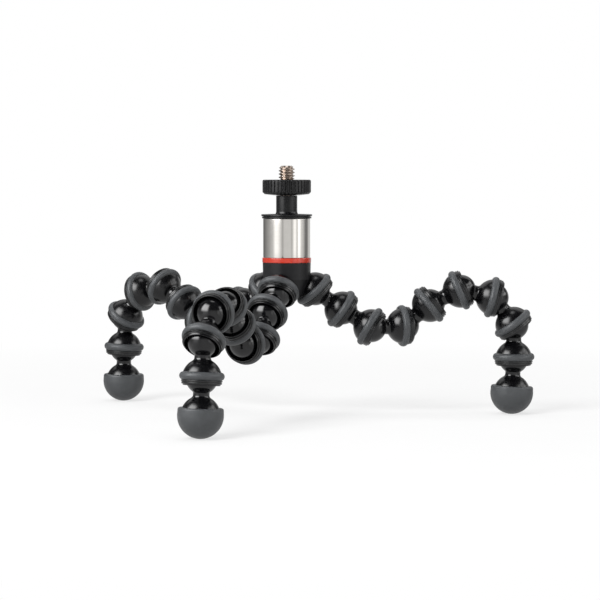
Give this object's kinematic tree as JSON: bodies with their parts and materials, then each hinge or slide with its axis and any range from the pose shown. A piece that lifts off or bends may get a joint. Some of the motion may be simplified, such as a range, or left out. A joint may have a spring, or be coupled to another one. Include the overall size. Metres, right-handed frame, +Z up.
{
  "type": "flexible leg tripod",
  "caption": "Mini tripod with bendable ball-and-socket legs, rubber grips and feet, and a small ball head under a camera screw.",
  "frame": {"origin": "on the axis of the camera screw, in the plane where the camera sits", "axes": "+Z up along the camera screw, +X to the right of the pictured view, +Y away from the viewer; the floor is 92.6 mm below the origin"},
  "size_m": [0.1748, 0.1665, 0.0981],
  "materials": {
    "gloss_black": "gloss",
    "grip_rubber": "matte",
    "base_charcoal": "matte",
    "head_black": "satin",
    "wheel_black": "satin",
    "barrel_steel": "brushed",
    "accent_red": "satin",
    "inner_plastic": "matte",
    "bolt_steel": "plain",
    "screw_steel": "bright"
  },
  "bodies": {
    "hub": {"base_body": "base_charcoal", "head_housing": "inner_plastic", "accent_ring": "accent_red", "top_cap": "head_black", "centre_bolt": "bolt_steel", "centre_nut": "bolt_steel", "spring_washer": "bolt_steel", "right_root_socket": "gloss_black", "right_root_grip": "grip_rubber", "front_root_socket": "gloss_black", "front_root_grip": "grip_rubber", "left_root_socket": "gloss_black", "left_root_grip": "grip_rubber"},
    "lock_barrel": {"steel_barrel": "barrel_steel"},
    "head_pan": {"ball_seat": "inner_plastic"},
    "head_tilt": {"ball_stud": "head_black"},
    "camera_wheel": {"thumbwheel": "wheel_black", "camera_screw": "screw_steel"},
    "right_link_1": {"right_link_1": "gloss_black"},
    "right_link_2": {"right_link_2": "gloss_black"},
    "right_link_3": {"right_link_3": "gloss_black"},
    "right_link_4": {"right_link_4": "gloss_black"},
    "right_link_5": {"right_link_5": "gloss_black"},
    "right_link_6": {"right_link_6": "gloss_black"},
    "right_link_7": {"right_link_7": "gloss_black"},
    "right_link_8": {"right_link_8": "gloss_black"},
    "right_foot": {"right_foot_link": "gloss_black", "right_foot_cap": "grip_rubber"},
    "front_link_1": {"front_link_1": "gloss_black"},
    "front_link_2": {"front_link_2": "gloss_black"},
    "front_link_3": {"front_link_3": "gloss_black"},
    "front_link_4": {"front_link_4": "gloss_black"},
    "front_link_5": {"front_link_5": "gloss_black"},
    "front_link_6": {"front_link_6": "gloss_black"},
    "front_link_7": {"front_link_7": "gloss_black"},
    "front_link_8": {"front_link_8": "gloss_black"},
    "front_foot": {"front_foot_link": "gloss_black", "front_foot_cap": "grip_rubber"},
    "left_link_1": {"left_link_1": "gloss_black"},
    "left_link_2": {"left_link_2": "gloss_black"},
    "left_link_3": {"left_link_3": "gloss_black"},
    "left_link_4": {"left_link_4": "gloss_black"},
    "left_link_5": {"left_link_5": "gloss_black"},
    "left_link_6": {"left_link_6": "gloss_black"},
    "left_link_7": {"left_link_7": "gloss_black"},
    "left_link_8": {"left_link_8": "gloss_black"},
    "left_foot": {"left_foot_link": "gloss_black", "left_foot_cap": "grip_rubber"}
  },
  "joints": [
    {"name": "barrel_twist", "type": "hinge", "parent": "hub", "child": "lock_barrel", "pos_m": [0, 0, -0.0228], "axis": [0, 0, 1], "range_deg": [-45, 45]},
    {"name": "head_pan", "type": "hinge", "parent": "hub", "child": "head_pan", "pos_m": [0, 0, -0.0181], "axis": [0, 0, 1], "continuous": true},
    {"name": "head_tilt", "type": "hinge", "parent": "head_pan", "child": "head_tilt", "pos_m": [0, 0, -0.0181], "axis": [0, 1, 0], "range_deg": [-25, 25]},
    {"name": "screw_spin", "type": "hinge", "parent": "head_tilt", "child": "camera_wheel", "pos_m": [0, 0, 0], "axis": [0, 0, 1], "continuous": true},
    {"name": "right_joint_1", "type": "hinge", "parent": "hub", "child": "right_link_1", "pos_m": [0.01121, 0.00259, -0.0436], "axis": [-0.0399, 0.9855, 0.1647], "range_deg": [-27.55, 54.45]},
    {"name": "right_joint_2", "type": "hinge", "parent": "right_link_1", "child": "right_link_2", "pos_m": [0.02206, 0.00431, -0.05126], "axis": [-0.5301, -0.256, -0.8083], "range_deg": [-56.61, 25.39]},
    {"name": "right_joint_3", "type": "hinge", "parent": "right_link_2", "child": "right_link_3", "pos_m": [0.03342, 0.00251, -0.05814], "axis": [-0.1869, 0.8299, -0.5257], "range_deg": [-1.4, 80.6]},
    {"name": "right_joint_4", "type": "hinge", "parent": "right_link_3", "child": "right_link_4", "pos_m": [0.04641, 0.00575, -0.05765], "axis": [0.2437, -0.9421, -0.2303], "range_deg": [-80.29, 1.71]},
    {"name": "right_joint_5", "type": "hinge", "parent": "right_link_4", "child": "right_link_5", "pos_m": [0.05665, 0.00628, -0.04902], "axis": [-0.1743, -0.9482, 0.2655], "range_deg": [-25.18, 56.82]},
    {"name": "right_joint_6", "type": "hinge", "parent": "right_link_5", "child": "right_link_6", "pos_m": [0.06876, 0.00565, -0.04333], "axis": [0.018, 0.9972, 0.0729], "range_deg": [-80.11, 1.89]},
    {"name": "right_joint_7", "type": "hinge", "parent": "right_link_6", "child": "right_link_7", "pos_m": [0.08177, 0.00565, -0.04654], "axis": [-0.0077, -0.9995, -0.031], "range_deg": [-0.97, 81.03]},
    {"name": "right_joint_8", "type": "hinge", "parent": "right_link_7", "child": "right_link_8", "pos_m": [0.08966, 0.00592, -0.05737], "axis": [-0.0352, 0.9994, -0.0002], "range_deg": [-77, 5]},
    {"name": "right_joint_9", "type": "hinge", "parent": "right_link_8", "child": "right_foot", "pos_m": [0.08969, 0.00592, -0.07077], "axis": [0.1813, -0.9834, 0.0005], "range_deg": [-37.78, 44.22]},
    {"name": "front_joint_1", "type": "hinge", "parent": "hub", "child": "front_link_1", "pos_m": [-0.00336, -0.011, -0.0436], "axis": [-0.8581, 0.4786, -0.1862], "range_deg": [-56.18, 25.82]},
    {"name": "front_joint_2", "type": "hinge", "parent": "front_link_1", "child": "front_link_2", "pos_m": [-0.00756, -0.02138, -0.05096], "axis": [-0.8455, 0.4908, -0.2106], "range_deg": [-29.57, 52.43]},
    {"name": "front_joint_3", "type": "hinge", "parent": "front_link_2", "child": "front_link_3", "pos_m": [-0.01052, -0.0305, -0.06031], "axis": [-0.9134, 0.3956, -0.0963], "range_deg": [-81.24, 0.76]},
    {"name": "front_joint_4", "type": "hinge", "parent": "front_link_3", "child": "front_link_4", "pos_m": [-0.01574, -0.0428, -0.06132], "axis": [0.9194, -0.3829, -0.0905], "range_deg": [-1.82, 80.18]},
    {"name": "front_joint_5", "type": "hinge", "parent": "front_link_4", "child": "front_link_5", "pos_m": [-0.01933, -0.05322, -0.05369], "axis": [0.4341, 0.4302, 0.7915], "range_deg": [-44.46, 37.54]},
    {"name": "front_joint_6", "type": "hinge", "parent": "front_link_5", "child": "front_link_6", "pos_m": [-0.02221, -0.06399, -0.04625], "axis": [-0.9449, 0.3149, 0.0894], "range_deg": [-0.82, 81.18]},
    {"name": "front_joint_7", "type": "hinge", "parent": "front_link_6", "child": "front_link_7", "pos_m": [-0.02655, -0.07658, -0.04772], "axis": [0.9455, -0.3256, 0], "range_deg": [-81, 1]},
    {"name": "front_joint_8", "type": "hinge", "parent": "front_link_7", "child": "front_link_8", "pos_m": [-0.02957, -0.08534, -0.05741], "axis": [-0.9496, 0.3131, 0.0125], "range_deg": [-1.95, 80.05]},
    {"name": "front_joint_9", "type": "hinge", "parent": "front_link_8", "child": "front_foot", "pos_m": [-0.03006, -0.08631, -0.07076], "axis": [0.9991, 0.0187, -0.0387], "range_deg": [-43.6, 38.4]},
    {"name": "left_joint_1", "type": "hinge", "parent": "hub", "child": "left_link_1", "pos_m": [-0.00784, 0.00841, -0.0436], "axis": [0.3261, 0.869, 0.372], "range_deg": [-61.49, 20.51]},
    {"name": "left_joint_2", "type": "hinge", "parent": "left_link_1", "child": "left_link_2", "pos_m": [-0.01745, 0.01489, -0.05032], "axis": [0.3908, -0.3165, -0.8644], "range_deg": [-49.65, 32.35]},
    {"name": "left_joint_3", "type": "hinge", "parent": "left_link_2", "child": "left_link_3", "pos_m": [-0.02579, 0.02295, -0.05704], "axis": [-0.7402, -0.6602, 0.1274], "range_deg": [-12.74, 69.26]},
    {"name": "left_joint_4", "type": "hinge", "parent": "left_link_3", "child": "left_link_4", "pos_m": [-0.03475, 0.0329, -0.05753], "axis": [-0.741, -0.6697, -0.0492], "range_deg": [-4.95, 77.05]},
    {"name": "left_joint_5", "type": "hinge", "parent": "left_link_4", "child": "left_link_5", "pos_m": [-0.04248, 0.0409, -0.05005], "axis": [-0.6008, -0.7725, 0.2058], "range_deg": [-48.21, 33.79]},
    {"name": "left_joint_6", "type": "hinge", "parent": "left_link_5", "child": "left_link_6", "pos_m": [-0.05108, 0.0492, -0.04399], "axis": [-0.6445, -0.7551, 0.12], "range_deg": [-80.3, 1.7]},
    {"name": "left_joint_7", "type": "hinge", "parent": "left_link_6", "child": "left_link_7", "pos_m": [-0.06126, 0.05745, -0.0468], "axis": [0.6293, 0.7771, 0], "range_deg": [-1, 81]},
    {"name": "left_joint_8", "type": "hinge", "parent": "left_link_7", "child": "left_link_8", "pos_m": [-0.06766, 0.06263, -0.05737], "axis": [0.6508, 0.7589, -0.0219], "range_deg": [-5.73, 76.27]},
    {"name": "left_joint_9", "type": "hinge", "parent": "left_link_8", "child": "left_foot", "pos_m": [-0.06831, 0.0628, -0.07075], "axis": [-0.1255, -0.9921, -0.0069], "range_deg": [-43.06, 38.94]}
  ]
}
